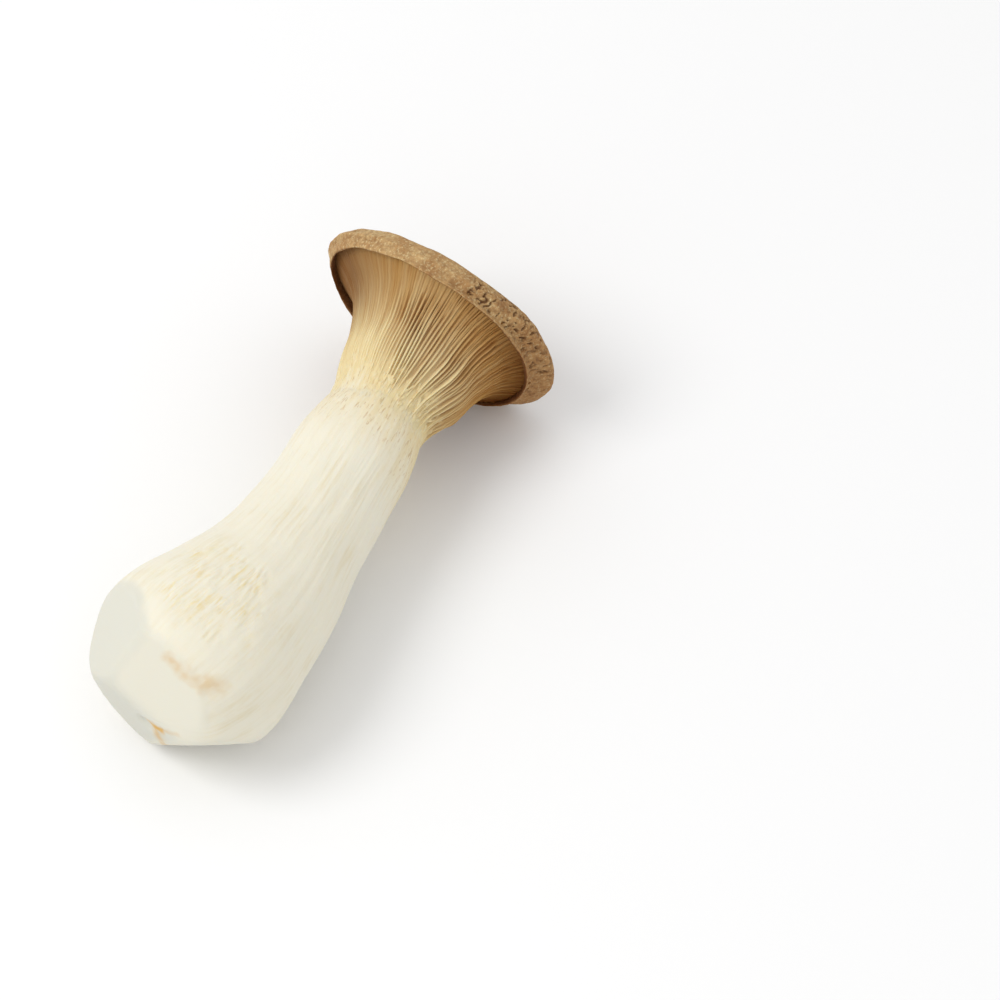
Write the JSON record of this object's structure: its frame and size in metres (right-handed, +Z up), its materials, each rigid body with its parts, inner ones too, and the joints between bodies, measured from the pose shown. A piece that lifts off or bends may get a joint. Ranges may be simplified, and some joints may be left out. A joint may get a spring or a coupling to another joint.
{
  "type": "king oyster mushroom",
  "caption": "Whole king oyster mushroom lying on its side, with a knife-trimmed swollen foot, thick stem, gills that run down the stem and a shallow cap.",
  "frame": {"origin": "middle of the bounding box, on the surface that it lies on", "axes": "+Z up from the surface, +X along the stem from the trimmed foot to the cap, +Y to the left seen from the foot"},
  "size_m": [0.1426, 0.0628, 0.0566],
  "materials": {
    "flesh": "matte, finely fibrous"
  },
  "bodies": {
    "root": {"mushroom": "flesh"}
  },
  "joints": []
}
